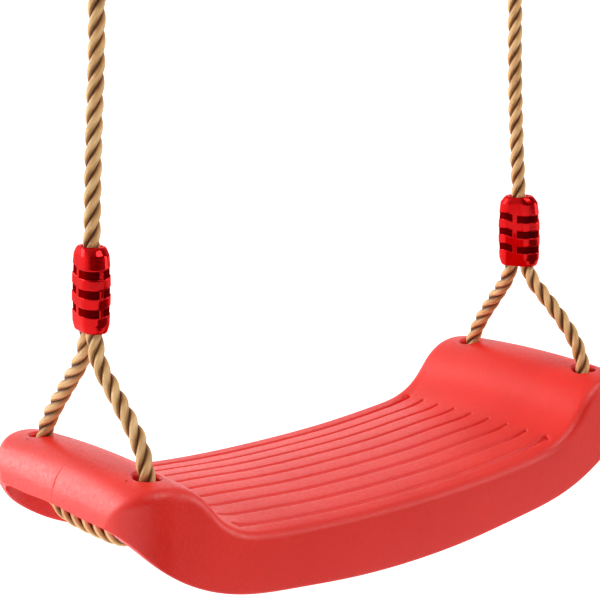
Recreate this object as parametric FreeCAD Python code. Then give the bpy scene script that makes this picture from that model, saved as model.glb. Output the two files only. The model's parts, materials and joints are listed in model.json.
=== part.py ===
"""Board swing: a curved moulded seat on two twisted ropes, each with a two-part rope adjuster.

Millimetres, +Z up, X along the seat, -Y its front. The origin is midway between the two points
where the hooks of a beam carry the hanging rings. Each STEP file in parts/ is one sub-part.
"""
import FreeCAD, Part
import math
import os

Vector = FreeCAD.Vector

# Place of the seat under the hang points
HANG_HALF_SPAN = 174.5      # hang points at plus and minus this X
SEAT_SHIFT = 6.0            # the seat's middle hangs this far towards +X
DROP = 362.2                # hang points above the plane through the rope holes' tops

# Seat
SEAT_HALF_LENGTH = 221.5
SEAT_HALF_WIDTH = 81.5
CORNER_RADIUS = 32.0
TOP_EDGE_RADIUS = 4.5
WALL = 3.6
# Half of each outline, from the middle to the end: X, Z above the holes' plane and, for the top, how
# much the crown lifts the middle above the long edges
TOP_OUTLINE = [(0, -49.5, 7.2), (60, -48.2, 7.2), (112, -44.2, 7.0), (140, -38.0, 5.2),
               (155, -27.5, 4.6), (168, -12.4, 4.4), (181, -4.2, 4.4), (194, -2.0, 4.3),
               (206, -3.2, 3.8), (214.5, -7.4, 2.2), (219.8, -14.8, 0.6), (221.5, -25.0, 0.0)]
BOTTOM_OUTLINE = [(0, -91.0), (50, -89.2), (100, -84.0), (140, -77.8), (168, -68.2), (189.5, -56.0),
                  (205.5, -42.4), (216, -30.5), (221.5, -25.0)]
END_ARCH_TOP = -24.0        # the end walls' lower edges arch up to this height
END_ARCH_RADIUS = 330.0
END_ARCH_DEPTH = 4.1        # how far in from each end the arch is cut
GROOVES = 9
GROOVE_PITCH = 17.1
GROOVE_WIDTH = 2.6
GROOVE_DEPTH = 1.8
GROOVE_HALF_LENGTH = 135.4
GROOVE_END_BOW = 3.0        # the outermost grooves reach this much further
HOLE_X = 191.1
HOLE_Y = 55.5
HOLE_RADIUS = 8.2
BOSS_RADIUS = 11.2
BOSS_BOTTOM = -22.0
RIB = 2.6
RIB_PITCH = 42.5
RIB_DEPTH = 12.0            # ribs stand this deep under the seat's upper wall
RIB_REACH = 176.0           # the lattice stops before the rope passages at the two ends
LONG_RIBS = (-54.0, -27.0, 0.0, 27.0, 54.0)

# Rope
ROPE = 10.5
ROPE_PAIR = 5.4             # half the spacing of two ropes lying side by side

# Rope adjuster: height above its lower face, half thickness in X, half width in Y
ADJUSTER_SECTIONS = [(0.0, 7.2, 13.1), (5.0, 8.5, 14.7), (15.0, 8.9, 15.2), (25.0, 9.0, 15.3),
                     (36.0, 8.7, 14.8), (46.0, 8.3, 13.3), (50.5, 7.3, 8.8)]
SLOT_HEIGHT = 4.9
SLOT_CENTRES = (12.5, 23.7, 34.9)
SLOT_DEPTH = 2.2
SLOT_BAND = 1.8             # solid band beside the seam
PEG_RADIUS = 1.1
PEG_REACH = 2.5             # to each side of the seam
PEG_X = 7.2
PEG_HEIGHTS = (7.0, 29.3)
LEG_PIVOT = 2.5             # the legs bend about a line this far above the lower face
NECK_PIVOT = 48.0           # the rope bends about a line this far above the lower face

# Hanging eye, heights above the holes' plane
FERRULE_BOTTOM = 274.0
FERRULE_HEIGHT = 24.0
FERRULE_WALL = 1.9
SWAY_HEIGHT = 279.0
EYE_CENTRE = 322.0
EYE_RADIUS = 15.0           # rope's centre line round the thimble
THIMBLE_INNER = 7.5
THIMBLE_OUTER = 12.8
THIMBLE_HALF_WIDTH = 5.6
RING_WIRE = 3.0
RING_RADIUS = 20.0
RING_PLAY = 1.3
JOINT_GAP = 1.6             # gap between two lengths of rope where they bend

# The two ropes: side sign, adjuster's lower and upper centre (X outward, Z), the turn of the adjuster
# about its rope in degrees, the upper rope's points, where the two legs leave the adjuster (Y and
# height above its foot, in its own plane) and the loop's points (Y, Z) from the front leg under the
# seat to the back leg
LEFT = {"name": "left", "sign": -1, "foot": (190.3, 76.0), "head": (188.3, 126.4), "turn": -10.0,
        "upper": [(184.7, 200.0), (181.2, 240.0)],
        "legs": [(-5.6, -14.0), (5.8, -14.0)],
        "loop": [(-20.0, 46.0), (-36.0, 31.5), (-49.0, 18.5), (-55.5, 2.0), (-55.5, -24.0),
                 (-38.0, -45.0), (0.0, -46.4), (38.0, -45.0), (55.5, -24.0), (55.5, -1.0),
                 (44.0, 17.5), (20.5, 44.0)]}
RIGHT = {"name": "right", "sign": 1, "foot": (180.9, 68.5), "head": (178.7, 118.9), "turn": 22.0,
         "upper": [(172.8, 173.0), (169.6, 228.0)],
         "legs": [(-7.2, -8.0), (7.0, -8.0)],
         "loop": [(-22.5, 48.5), (-38.5, 33.0), (-50.0, 18.5), (-55.5, 1.0), (-55.5, -24.0),
                  (-38.0, -45.0), (0.0, -46.4), (38.0, -45.0), (55.5, -24.0), (55.5, -1.0),
                  (44.0, 18.5), (22.5, 44.0)]}


def place(x, y, z):
    """A point given from the seat's middle and the holes' plane, in the part's frame."""
    return Vector(x + SEAT_SHIFT, y, z - DROP)


def top_curve(y):
    """The top's outline at a distance from the seat's long middle line."""
    share = 1 - (y / SEAT_HALF_WIDTH) ** 2
    half = [(x, z + crown * share) for x, z, crown in TOP_OUTLINE]
    return spline(mirrored(half))


def body_along_y(edges_at, half_width):
    """A solid through seven outlines across the seat; edges_at makes one from the top's outline."""
    wires = []
    for n in range(-3, 4):
        y = half_width * n / 3
        wire = Part.Wire(edges_at(top_curve(y)))
        wire.translate(Vector(0, y, 0))
        wires.append(wire)
    return Part.makeLoft(wires, True, False)


def mirrored(outline):
    left = [(-x, z) for x, z in reversed(outline[1:])]
    return left + list(outline)


def spline(points):
    curve = Part.BSplineCurve()
    curve.interpolate([Vector(x, 0, z) for x, z in points])
    return curve


def lowered(curve, distance, reach=SEAT_HALF_LENGTH):
    """A curve the given distance below and inside a left-to-right outline, as far as reach in X."""
    first, last = curve.FirstParameter, curve.LastParameter
    points = []
    for k in range(49):
        u = first + (last - first) * k / 48
        along = curve.tangent(u)[0]
        inward = Vector(along.z, 0, -along.x)
        if abs(curve.value(u).x) <= reach:
            points.append(curve.value(u) + inward * distance)
    inner = Part.BSplineCurve()
    inner.interpolate(points)
    return inner


def line(a, b):
    return Part.LineSegment(a, b).toShape()


def rounded_plate(half_x, half_y, radius, bottom, top):
    """A rounded rectangle, as a prism from bottom to top."""
    x, y, r = half_x, half_y, radius
    k = r * (1 - math.sqrt(0.5))
    corners = [(x, y), (-x, y), (-x, -y), (x, -y)]
    edges = []
    for n, (cx, cy) in enumerate(corners):
        sx, sy = math.copysign(1, cx), math.copysign(1, cy)
        on_y = Vector(cx, cy - sy * r, bottom)
        on_x = Vector(cx - sx * r, cy, bottom)
        middle = Vector(cx - sx * k, cy - sy * k, bottom)
        start, end = (on_y, on_x) if n % 2 == 0 else (on_x, on_y)
        edges.append((start, middle, end))
    outline = []
    for n, (start, middle, end) in enumerate(edges):
        outline.append(Part.Arc(start, middle, end).toShape())
        outline.append(line(end, edges[(n + 1) % 4][0]))
    face = Part.Face(Part.Wire(outline))
    return face.extrude(Vector(0, 0, top - bottom))


def block_outline(top):
    return [top.toShape(), spline(mirrored(BOTTOM_OUTLINE)).toShape()]


def seat_block():
    """The seat's outer form, before it is hollowed."""
    side = body_along_y(block_outline, SEAT_HALF_WIDTH + 5)
    plan = rounded_plate(SEAT_HALF_LENGTH + 0.5, SEAT_HALF_WIDTH, CORNER_RADIUS, -150, 60)
    block = side.common(plan)
    rim = [edge for edge in block.Edges if is_top_edge(edge)]
    return block.makeFillet(TOP_EDGE_RADIUS, rim)


def is_top_edge(edge):
    """The long edges where the seat's upper face meets its front and back."""
    box = edge.BoundBox
    on_side = box.YLength < 0.01 and abs(abs(box.YMin) - SEAT_HALF_WIDTH) < 0.01
    return on_side and box.XLength > SEAT_HALF_LENGTH and box.ZMax > -10


def closed_at(curve, height):
    """A curve closed by a straight line at a height and two uprights."""
    ends = [curve.value(curve.FirstParameter), curve.value(curve.LastParameter)]
    feet = [Vector(p.x, 0, height) for p in ends]
    return [curve.toShape(), line(ends[1], feet[1]), line(feet[1], feet[0]), line(feet[0], ends[0])]


def cavity_outline(top):
    return closed_at(lowered(top, WALL), -140)


def seat_cavity():
    """What is taken out from below to leave a wall all round."""
    hollow = body_along_y(cavity_outline, SEAT_HALF_WIDTH + 5)
    plan = rounded_plate(SEAT_HALF_LENGTH - WALL, SEAT_HALF_WIDTH - WALL, CORNER_RADIUS - WALL, -160, 60)
    return hollow.common(plan)


def rib_outline(top):
    under = lowered(top, WALL - 1, RIB_REACH)
    edge = lowered(top, WALL + RIB_DEPTH, RIB_REACH)
    first = line(under.value(under.FirstParameter), edge.value(edge.FirstParameter))
    last = line(under.value(under.LastParameter), edge.value(edge.LastParameter))
    return [under.toShape(), last, edge.toShape(), first]


def seat_ribs():
    """The lattice of ribs under the seat, between the two rope passages."""
    slabs = []
    for n in range(-4, 5):
        slabs.append(Part.makeBox(RIB, 2 * SEAT_HALF_WIDTH - WALL, 150,
                                  Vector(n * RIB_PITCH - RIB / 2, -SEAT_HALF_WIDTH + WALL / 2, -140)))
    reach = 4 * RIB_PITCH
    for y in LONG_RIBS:
        slabs.append(Part.makeBox(2 * reach, RIB, 150, Vector(-reach, y - RIB / 2, -140)))
    lattice = slabs[0].multiFuse(slabs[1:])
    return lattice.common(body_along_y(rib_outline, SEAT_HALF_WIDTH - 1))


def above_grooves_outline(top):
    return closed_at(lowered(top, GROOVE_DEPTH), 40)


def seat_grooves():
    """The tread grooves, as cutters that follow the seat's upper face."""
    cutters = []
    for n in range(GROOVES):
        row = n - (GROOVES - 1) / 2
        half = GROOVE_HALF_LENGTH + GROOVE_END_BOW * (row / 4) ** 2
        slab = Part.makeBox(2 * half, GROOVE_WIDTH, 60,
                            Vector(-half, row * GROOVE_PITCH - GROOVE_WIDTH / 2, -60))
        cutters.append(slab)
    over = body_along_y(above_grooves_outline, SEAT_HALF_WIDTH)
    return Part.makeCompound(cutters).common(over)


def under_middle_of_wall(top):
    return closed_at(lowered(top, WALL / 2), -140)


def seat():
    shell = seat_block().cut(seat_cavity())
    shell = shell.fuse(seat_ribs())
    roof = body_along_y(under_middle_of_wall, SEAT_HALF_WIDTH)
    for sx in (-1, 1):
        for sy in (-1, 1):
            tube = Part.makeCylinder(BOSS_RADIUS, 40, Vector(sx * HOLE_X, sy * HOLE_Y, BOSS_BOTTOM))
            shell = shell.fuse(tube.common(roof))
    for sx in (-1, 1):
        for sy in (-1, 1):
            bore = Part.makeCylinder(HOLE_RADIUS, 60, Vector(sx * HOLE_X, sy * HOLE_Y, -30))
            shell = shell.cut(bore)
    shell = shell.cut(seat_grooves())
    for start in (SEAT_HALF_LENGTH - END_ARCH_DEPTH, -SEAT_HALF_LENGTH - 5):
        low = Vector(start, 0, END_ARCH_TOP - END_ARCH_RADIUS)
        arch = Part.makeCylinder(END_ARCH_RADIUS, END_ARCH_DEPTH + 5, low, Vector(1, 0, 0))
        shell = shell.cut(arch)
    shell = shell.removeSplitter()
    shell.translate(place(0, 0, 0))
    return shell


def route_wire(points, radii, name):
    """Straight runs joined by tangent arcs; each arc's radius comes from its two runs unless given."""
    runs = [(b - a).Length for a, b in zip(points, points[1:])]
    edges = []
    start = points[0]
    printed = []
    for n in range(1, len(points) - 1):
        before = (points[n] - points[n - 1]).normalize()
        after = (points[n + 1] - points[n]).normalize()
        half_turn = before.getAngle(after) / 2
        radius = 0.45 * min(runs[n - 1], runs[n]) / math.tan(half_turn)
        if radii and n in radii:
            radius = radii[n]
        printed.append(round(radius, 1))
        reach = radius * math.tan(half_turn)
        a = points[n] - before * reach
        b = points[n] + after * reach
        towards = (after - before).normalize()
        middle = points[n] + towards * (radius / math.cos(half_turn) - radius)
        if (a - start).Length > 1e-4:
            edges.append(line(start, a))
        edges.append(Part.Arc(a, middle, b).toShape())
        start = b
    if (points[-1] - start).Length > 1e-4:
        edges.append(line(start, points[-1]))
    wire = Part.Wire(edges)
    print(name, "radii", printed, "length", round(wire.Length, 1))
    return wire


def tube(points, name, radii=None):
    """A round rope along a route."""
    wire = route_wire(points, radii, name)
    circle = Part.Wire(Part.makeCircle(ROPE / 2, points[0], points[1] - points[0]))
    solid = wire.makePipeShell([circle], True, False)
    expected = math.pi * (ROPE / 2) ** 2 * wire.Length
    print(name, "volume over section times length", round(solid.Volume / expected, 4))
    return solid


def side_point(side, x, y, z):
    return place(side["sign"] * x, y, z)


def adjuster_frame(side):
    """Lower centre and unit axis of a rope adjuster, which leans with its rope."""
    foot = side_point(side, side["foot"][0], 0, side["foot"][1])
    head = side_point(side, side["head"][0], 0, side["head"][1])
    return foot, (head - foot).normalize()


def set_in_adjuster(shape, side):
    """Moves a shape made upright at the origin to its place in the adjuster."""
    foot, axis = adjuster_frame(side)
    shape.Placement = FreeCAD.Placement(foot, adjuster_turn(side, axis))
    return shape


def adjuster_turn(side, axis):
    lean = FreeCAD.Rotation(Vector(0, 0, 1), axis)
    return lean.multiply(FreeCAD.Rotation(Vector(0, 0, 1), side["turn"]))


def adjuster_point(side, y, height):
    """A point in the plane of an adjuster's width, y to the back and so high above its foot."""
    foot, axis = adjuster_frame(side)
    return foot + adjuster_turn(side, axis).multVec(Vector(0, y, height))


def oval(half_x, half_y, height):
    """A flat-sided oval outline, long in Y."""
    r = half_x
    s = half_y - r
    points = [Vector(r, -s, height), Vector(r, s, height), Vector(-r, s, height), Vector(-r, -s, height)]
    far = Part.Arc(points[1], Vector(0, half_y, height), points[2]).toShape()
    near = Part.Arc(points[3], Vector(0, -half_y, height), points[0]).toShape()
    return Part.Wire([line(points[0], points[1]), far, line(points[2], points[3]), near])


def adjuster_body(inset=0.0):
    """The whole barrel, with its conical shoulders, smaller all round by inset."""
    rings = [oval(a - inset, b - inset, z) for z, a, b in ADJUSTER_SECTIONS]
    foot = Part.makeLoft(rings[:2], True, True)
    barrel = Part.makeLoft(rings[1:6], True, False)
    head = Part.makeLoft(rings[5:], True, True)
    return foot.fuse([barrel, head])


def adjuster_cavity():
    """The rope's room: one bore at the top, a pair at the bottom, and a flared mouth at each end."""
    bore = ROPE / 2 + 0.35
    pair = ROPE_PAIR + bore
    upper = Part.makeCylinder(bore, 20, Vector(0, 0, 32))
    spread = Part.makeLoft([oval(bore, pair, 28.0), oval(bore, bore + 0.01, 42.0)], True, True)
    lower = Part.makeLoft([oval(bore, pair, 2.0), oval(bore, pair, 28.0)], True, True)
    mouth = Part.makeLoft([oval(bore + 0.7, pair + 1.4, -0.01), oval(bore, pair, 6.0)], True, True)
    neck = Part.makeCone(bore, bore + 0.9, 4.5, Vector(0, 0, 46.01))
    return upper.fuse([spread, lower, mouth, neck])


def adjuster_slots(front):
    """Three slots round the end of one half, stopping short of the seam."""
    core = adjuster_body(SLOT_DEPTH)
    slots = []
    for centre in SLOT_CENTRES:
        start = Vector(-20, -40 if front else SLOT_BAND, centre - SLOT_HEIGHT / 2)
        slots.append(Part.makeBox(40, 40 - SLOT_BAND, SLOT_HEIGHT, start))
    return Part.makeCompound(slots).cut(core)


def adjuster_pegs(radius, reach):
    pegs = []
    for x in (-PEG_X, PEG_X):
        for z in PEG_HEIGHTS:
            pegs.append(Part.makeCylinder(radius, 2 * reach, Vector(x, -reach, z), Vector(0, 1, 0)))
    return pegs


def adjuster_half(side, front):
    shape = adjuster_body().cut(adjuster_cavity())
    half_space = Part.makeBox(60, 40, 80, Vector(-30, -40 if front else 0, -10))
    shape = shape.common(half_space).cut(adjuster_slots(front))
    if front:
        shape = shape.fuse(adjuster_pegs(PEG_RADIUS, PEG_REACH))
    else:
        shape = shape.cut(Part.makeCompound(adjuster_pegs(PEG_RADIUS + 0.05, PEG_REACH + 0.1)))
    return set_in_adjuster(shape, side)


def inner_rope(side):
    """The rope inside its adjuster: from the neck to the front leg."""
    heights = [(0, NECK_PIVOT - JOINT_GAP), (0, 38.0), (-ROPE_PAIR, 26.0), (-ROPE_PAIR, LEG_PIVOT + 2.7)]
    points = [adjuster_point(side, y, z) for y, z in heights]
    return tube(points, side["name"] + "_inner_rope")


def rope_tail(side):
    """The rope's end, which stops inside the adjuster above the back leg."""
    start = adjuster_point(side, ROPE_PAIR, LEG_PIVOT + 2.7)
    _, axis = adjuster_frame(side)
    return Part.makeCylinder(ROPE / 2, 19.0, start, axis)


def upper_rope(side):
    """The rope between its adjuster and its ferrule."""
    points = [adjuster_point(side, 0, NECK_PIVOT)]
    points += [side_point(side, x, 0, z) for x, z in side["upper"]]
    points.append(eye_point(side, 0, SWAY_HEIGHT))
    return tube(points, side["name"] + "_upper_rope")


def loop_rope(side):
    """The two legs and the run under the seat between them."""
    foot_x, foot_z = side["foot"]
    front, back = side["legs"]
    points = [adjuster_point(side, -ROPE_PAIR, LEG_PIVOT), adjuster_point(side, *front)]
    for y, z in side["loop"]:
        lean = max(0.0, z) / foot_z
        points.append(side_point(side, HOLE_X + (foot_x - HOLE_X) * lean, y, z))
    points += [adjuster_point(side, *back), adjuster_point(side, ROPE_PAIR, LEG_PIVOT)]
    return tube(points, side["name"] + "_loop_rope")


def eye_point(side, y, z):
    """A point in the hanging eye, which hangs straight down from its hang point."""
    return Vector(side["sign"] * HANG_HALF_SPAN, y, z - DROP)


def eye_route(side):
    crown = EYE_CENTRE + EYE_RADIUS
    shoulder = EYE_CENTRE - 4
    heights = [(-1.2, SWAY_HEIGHT + JOINT_GAP + 2.6), (-ROPE_PAIR, 291.0), (-ROPE_PAIR, 300.0),
               (-EYE_RADIUS, shoulder), (-EYE_RADIUS, crown), (EYE_RADIUS, crown),
               (EYE_RADIUS, shoulder), (ROPE_PAIR, 300.0), (ROPE_PAIR, 289.0)]
    return [eye_point(side, y, z) for y, z in heights]


def eye_radii():
    """The crown's two quarter turns follow the thimble, and the shoulders below them are gentle."""
    return {2: 9.0, 3: 16.0, 4: EYE_RADIUS, 5: EYE_RADIUS, 6: 16.0, 7: 12.0}


def eye_rope(side):
    return tube(eye_route(side), side["name"] + "_eye_rope", eye_radii())


def ferrule(side):
    """A swaged oval sleeve that closes the eye, with a flared mouth below."""
    bore = ROPE / 2 + 0.2
    pair = ROPE_PAIR + bore
    body = Part.makeLoft([oval(bore + FERRULE_WALL - 0.6, pair + FERRULE_WALL - 0.6, 0.0),
                          oval(bore + FERRULE_WALL, pair + FERRULE_WALL, 1.0)], True, True)
    body = body.fuse(Part.makeLoft([oval(bore + FERRULE_WALL, pair + FERRULE_WALL, 1.0),
                                    oval(bore + FERRULE_WALL, pair + FERRULE_WALL, FERRULE_HEIGHT)],
                                   True, True))
    room = Part.makeLoft([oval(bore, pair, 5.0), oval(bore, pair, FERRULE_HEIGHT + 1)], True, True)
    mouth = Part.makeCone(bore + 1.6, bore + 0.3, 5.0)
    shape = body.cut(room.fuse(mouth))
    shape.translate(eye_point(side, 0, FERRULE_BOTTOM))
    return shape


def thimble(side):
    """A round grooved thimble that the rope's eye goes round."""
    left_face = eye_point(side, 0, EYE_CENTRE) - Vector(THIMBLE_HALF_WIDTH, 0, 0)
    across = Vector(1, 0, 0)
    body = Part.makeCylinder(THIMBLE_OUTER, 2 * THIMBLE_HALF_WIDTH, left_face, across)
    body = body.cut(Part.makeCylinder(THIMBLE_INNER, 2 * THIMBLE_HALF_WIDTH, left_face, across))
    groove = Part.makeTorus(EYE_RADIUS, ROPE / 2 + 0.15, eye_point(side, 0, EYE_CENTRE), across)
    return body.cut(groove)


def ring(side):
    """The steel ring that the hook of the beam carries."""
    wire_height = EYE_CENTRE + THIMBLE_INNER - RING_WIRE - RING_PLAY
    return Part.makeTorus(RING_RADIUS, RING_WIRE, eye_point(side, 0, wire_height + RING_RADIUS),
                          Vector(0, 1, 0))


def main():
    os.makedirs("parts", exist_ok=True)
    pieces = {"seat": seat()}
    for side in (LEFT, RIGHT):
        name = side["name"]
        pieces[name + "_hanging_ring"] = ring(side)
        pieces[name + "_thimble"] = thimble(side)
        pieces[name + "_eye_rope"] = eye_rope(side)
        pieces[name + "_ferrule"] = ferrule(side)
        pieces[name + "_upper_rope"] = upper_rope(side)
        pieces[name + "_adjuster_front"] = adjuster_half(side, True)
        pieces[name + "_adjuster_back"] = adjuster_half(side, False)
        pieces[name + "_inner_rope"] = inner_rope(side)
        pieces[name + "_rope_tail"] = rope_tail(side)
        pieces[name + "_loop_rope"] = loop_rope(side)
    for name, shape in pieces.items():
        solid = shape.Solids[0] if len(shape.Solids) == 1 else shape
        print(name, "valid", solid.isValid(), "solids", len(shape.Solids), "volume", round(shape.Volume, 1))
        solid.exportStep(os.path.join("parts", name + ".step"))


main()
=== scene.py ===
"""Board swing, the looks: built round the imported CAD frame, in metres."""
import json
import math

import bmesh
import bpy
import numpy as np
from mathutils import Matrix, Vector
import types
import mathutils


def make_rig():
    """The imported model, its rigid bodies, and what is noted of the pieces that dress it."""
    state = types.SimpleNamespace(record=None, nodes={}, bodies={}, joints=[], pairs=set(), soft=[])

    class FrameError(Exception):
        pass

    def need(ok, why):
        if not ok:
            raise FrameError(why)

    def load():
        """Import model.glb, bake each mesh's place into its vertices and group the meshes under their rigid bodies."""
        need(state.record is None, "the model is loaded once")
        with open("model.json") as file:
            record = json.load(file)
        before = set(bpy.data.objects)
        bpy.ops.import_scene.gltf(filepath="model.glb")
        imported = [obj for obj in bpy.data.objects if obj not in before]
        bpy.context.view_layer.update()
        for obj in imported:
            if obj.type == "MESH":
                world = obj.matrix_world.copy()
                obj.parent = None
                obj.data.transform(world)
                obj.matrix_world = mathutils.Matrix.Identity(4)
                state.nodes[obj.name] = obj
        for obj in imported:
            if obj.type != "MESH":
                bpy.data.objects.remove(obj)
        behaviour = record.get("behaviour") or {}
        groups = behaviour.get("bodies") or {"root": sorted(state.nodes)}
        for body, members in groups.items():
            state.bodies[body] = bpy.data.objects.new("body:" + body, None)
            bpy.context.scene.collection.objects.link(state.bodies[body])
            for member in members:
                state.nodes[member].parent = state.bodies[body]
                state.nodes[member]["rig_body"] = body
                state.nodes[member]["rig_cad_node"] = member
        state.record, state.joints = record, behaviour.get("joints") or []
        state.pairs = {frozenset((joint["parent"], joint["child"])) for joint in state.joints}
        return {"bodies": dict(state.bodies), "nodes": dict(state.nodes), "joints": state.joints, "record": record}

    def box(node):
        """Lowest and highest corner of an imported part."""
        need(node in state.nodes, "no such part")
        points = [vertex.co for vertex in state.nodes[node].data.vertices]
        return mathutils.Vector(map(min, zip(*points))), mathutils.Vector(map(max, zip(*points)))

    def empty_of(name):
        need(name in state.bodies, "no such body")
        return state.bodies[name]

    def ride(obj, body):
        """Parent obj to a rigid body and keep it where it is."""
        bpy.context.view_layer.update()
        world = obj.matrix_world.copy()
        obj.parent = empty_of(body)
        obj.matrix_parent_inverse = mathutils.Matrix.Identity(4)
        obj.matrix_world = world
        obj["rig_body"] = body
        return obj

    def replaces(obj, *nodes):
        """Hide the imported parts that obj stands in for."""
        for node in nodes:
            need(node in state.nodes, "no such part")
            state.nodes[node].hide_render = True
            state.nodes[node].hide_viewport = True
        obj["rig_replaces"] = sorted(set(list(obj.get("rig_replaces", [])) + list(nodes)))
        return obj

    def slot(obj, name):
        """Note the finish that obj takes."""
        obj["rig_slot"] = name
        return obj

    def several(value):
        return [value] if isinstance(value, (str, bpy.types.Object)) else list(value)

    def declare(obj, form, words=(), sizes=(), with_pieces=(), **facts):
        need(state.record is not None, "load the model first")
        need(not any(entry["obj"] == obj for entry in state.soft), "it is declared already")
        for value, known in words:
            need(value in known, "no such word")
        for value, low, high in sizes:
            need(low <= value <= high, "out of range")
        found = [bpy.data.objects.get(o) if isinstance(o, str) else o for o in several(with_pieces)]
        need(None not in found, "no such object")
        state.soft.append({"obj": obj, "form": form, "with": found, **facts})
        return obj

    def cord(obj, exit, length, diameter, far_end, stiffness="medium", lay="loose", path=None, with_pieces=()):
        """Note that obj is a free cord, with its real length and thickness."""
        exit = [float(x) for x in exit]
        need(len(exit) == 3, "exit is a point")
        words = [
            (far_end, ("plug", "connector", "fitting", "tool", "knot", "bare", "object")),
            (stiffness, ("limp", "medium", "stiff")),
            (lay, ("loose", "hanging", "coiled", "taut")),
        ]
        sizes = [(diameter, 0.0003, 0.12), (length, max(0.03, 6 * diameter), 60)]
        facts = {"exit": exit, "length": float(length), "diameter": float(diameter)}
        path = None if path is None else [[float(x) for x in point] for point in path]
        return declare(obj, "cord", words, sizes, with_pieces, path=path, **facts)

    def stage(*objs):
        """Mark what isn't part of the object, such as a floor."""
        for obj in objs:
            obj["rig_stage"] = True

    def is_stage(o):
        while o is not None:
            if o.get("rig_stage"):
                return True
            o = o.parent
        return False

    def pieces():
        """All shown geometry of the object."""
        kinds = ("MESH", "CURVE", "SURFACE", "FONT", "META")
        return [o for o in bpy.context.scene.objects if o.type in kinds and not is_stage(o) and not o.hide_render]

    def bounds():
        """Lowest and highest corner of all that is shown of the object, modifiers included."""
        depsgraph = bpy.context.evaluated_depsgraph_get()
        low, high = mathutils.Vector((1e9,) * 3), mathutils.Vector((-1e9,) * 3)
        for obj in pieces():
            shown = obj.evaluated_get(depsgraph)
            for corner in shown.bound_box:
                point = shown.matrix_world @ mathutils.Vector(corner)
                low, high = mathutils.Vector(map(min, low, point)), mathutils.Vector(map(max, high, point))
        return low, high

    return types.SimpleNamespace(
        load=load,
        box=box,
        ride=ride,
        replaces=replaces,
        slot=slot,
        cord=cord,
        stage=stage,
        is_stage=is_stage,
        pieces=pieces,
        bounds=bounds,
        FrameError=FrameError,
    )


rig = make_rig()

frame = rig.load()
cad_low, cad_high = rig.bounds()
MM = 0.001

# The seat's place: its middle in X, and the plane through the tops of the rope holes
seat_low, seat_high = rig.box("seat")
SEAT_X = (seat_low.x + seat_high.x) / 2
DROP = 0.3622
HANG_HALF_SPAN = 0.1745

# Rope: thickness, half the distance of the two legs, the strands' pitch, and where the bodies meet,
# as heights above the adjuster's foot or above the holes' plane
ROPE = 0.0105
PAIR = 0.0054
LAY_LENGTH = 0.0365
LEG_PIVOT = 0.0025
NECK_PIVOT = 0.048
SWAY_HEIGHT = 0.279
EYE_CENTRE = 0.322
EYE_RADIUS = 0.015
JOINT_GAP = 0.0016
HOLE_X = 0.1911
HOLE_Y = 0.0555

# The two ropes, as in the CAD part: adjuster's lower and upper centre (X outward, Z), its turn about
# the rope, the upper rope's points and the loop's points (Y, Z)
LEFT = {"name": "left", "sign": -1, "foot": (0.1903, 0.0760), "head": (0.1883, 0.1264), "turn": -10.0,
        "upper": [(0.1847, 0.2000), (0.1812, 0.2400)],
        "legs": [(-0.0056, -0.0140), (0.0058, -0.0140)],
        "loop": [(-0.0200, 0.0460), (-0.0360, 0.0315), (-0.0490, 0.0185), (-0.0555, 0.0020),
                 (-0.0555, -0.0240), (-0.0380, -0.0450), (0.0, -0.0464), (0.0380, -0.0450),
                 (0.0555, -0.0240), (0.0555, -0.0010), (0.0440, 0.0175), (0.0205, 0.0440)]}
RIGHT = {"name": "right", "sign": 1, "foot": (0.1809, 0.0685), "head": (0.1787, 0.1189), "turn": 22.0,
         "upper": [(0.1728, 0.1730), (0.1696, 0.2280)],
         "legs": [(-0.0072, -0.0080), (0.0070, -0.0080)],
         "loop": [(-0.0225, 0.0485), (-0.0385, 0.0330), (-0.0500, 0.0185), (-0.0555, 0.0010),
                  (-0.0555, -0.0240), (-0.0380, -0.0450), (0.0, -0.0464), (0.0380, -0.0450),
                  (0.0555, -0.0240), (0.0555, -0.0010), (0.0440, 0.0185), (0.0225, 0.0440)]}


def link(obj):
    bpy.context.scene.collection.objects.link(obj)
    return obj


def place(x, y, z):
    """A point given from the seat's middle and the holes' plane, in the part's frame."""
    return Vector((x + SEAT_X, y, z - DROP))


# ------------ camera, lights, floor

LIGHT_AIM = Vector((0.0, 0.0, -0.38))
FLOOR_SIZE = 24.0
FLOOR_DROP = 0.16
CARD_HEIGHT = 0.01


def camera():
    data = bpy.data.cameras.new("camera")
    data.lens = 104.0
    data.sensor_width = 36.0
    data.clip_start = 0.05
    data.clip_end = 60
    cam = link(bpy.data.objects.new("camera", data))
    cam.location = (-0.7360, -0.8358, -0.0495)
    aim = Vector((-0.02225, 0.0, -0.2907)) - cam.location
    roll = Matrix.Rotation(math.radians(0.08), 3, "Z")
    cam.rotation_euler = (aim.to_track_quat("-Z", "Y").to_matrix() @ roll).to_euler()
    bpy.context.scene.camera = cam


def area_light(name, spot, size, power):
    """A rectangular soft box, turned towards the seat."""
    data = bpy.data.lights.new(name, "AREA")
    data.shape = "RECTANGLE"
    data.size = size[0]
    data.size_y = size[1]
    data.energy = power
    lamp = link(bpy.data.objects.new(name, data))
    lamp.location = spot
    lamp.rotation_euler = (LIGHT_AIM - Vector(spot)).to_track_quat("-Z", "Y").to_euler()


def staged_sheet(name, corners, mat):
    """A flat sheet that belongs to the studio and not to the swing."""
    mesh = bpy.data.meshes.new(name)
    mesh.from_pydata(corners, [], [(0, 1, 2, 3)])
    mesh.materials.append(mat)
    made = link(bpy.data.objects.new(name, mesh))
    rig.stage(made)
    return made


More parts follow.
